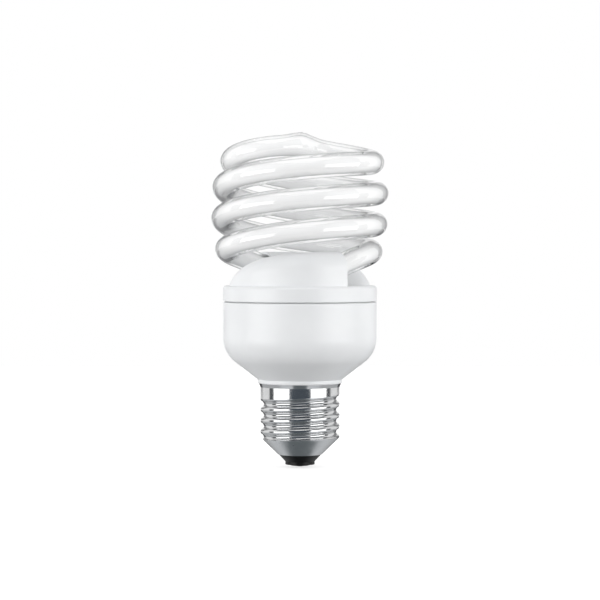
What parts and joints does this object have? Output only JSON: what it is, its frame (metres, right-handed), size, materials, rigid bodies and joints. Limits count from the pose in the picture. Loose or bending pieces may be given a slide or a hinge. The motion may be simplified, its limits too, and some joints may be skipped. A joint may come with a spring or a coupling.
{
  "type": "spiral_lamp",
  "caption": "Spiral energy saving bulb with a white coiled glass tube, white plastic housing and a metal E27 screw cap",
  "frame": {"origin": "tip of the centre contact, on the lamp's axis", "axes": "+Z along the lamp's axis from the cap to the glass, -Y the side towards the viewer in the picture, +X to the viewer's right"},
  "size_m": [0.0586, 0.0594, 0.1103],
  "materials": {
    "coated_glass": "clear glass tube over a white inner coating",
    "white_plastic": "glossy white moulded plastic",
    "plated_metal": "bright nickel plate",
    "black_glass": "glossy black glass insulator",
    "solder": "dull grey solder",
    "silicone": "white silicone",
    "board_laminate": "brown paper laminate",
    "dark_sleeve": "black plastic",
    "ferrite": "dark grey ferrite",
    "copper_wire": "enamelled copper wire",
    "film_resin": "red brown dipped resin",
    "resistor_enamel": "blue grey enamel",
    "wire_sleeve": "white insulated wire"
  },
  "bodies": {
    "root": {"glass_tube": "coated_glass", "tube_holder": "white_plastic", "lower_housing": "white_plastic", "screw_shell": "plated_metal", "cap_insulator": "black_glass", "centre_contact": "plated_metal", "contact_solder": "solder", "tube_cement": "silicone", "ballast_board": "board_laminate", "smoothing_capacitor": "dark_sleeve", "choke_core": "ferrite", "choke_bobbin": "dark_sleeve", "choke_winding": "copper_wire", "drive_toroid": "ferrite", "toroid_winding": "copper_wire", "transistor_high": "dark_sleeve", "transistor_low": "dark_sleeve", "resonance_capacitor": "film_resin", "blocking_capacitor": "film_resin", "rectifier_diodes": "dark_sleeve", "start_resistors": "resistor_enamel", "trigger_diode": "resistor_enamel", "filter_inductor": "ferrite", "fusible_resistor": "resistor_enamel", "centre_lead": "wire_sleeve", "shell_lead": "wire_sleeve", "wrap_pins": "plated_metal", "tube_leads": "plated_metal"}
  },
  "joints": []
}
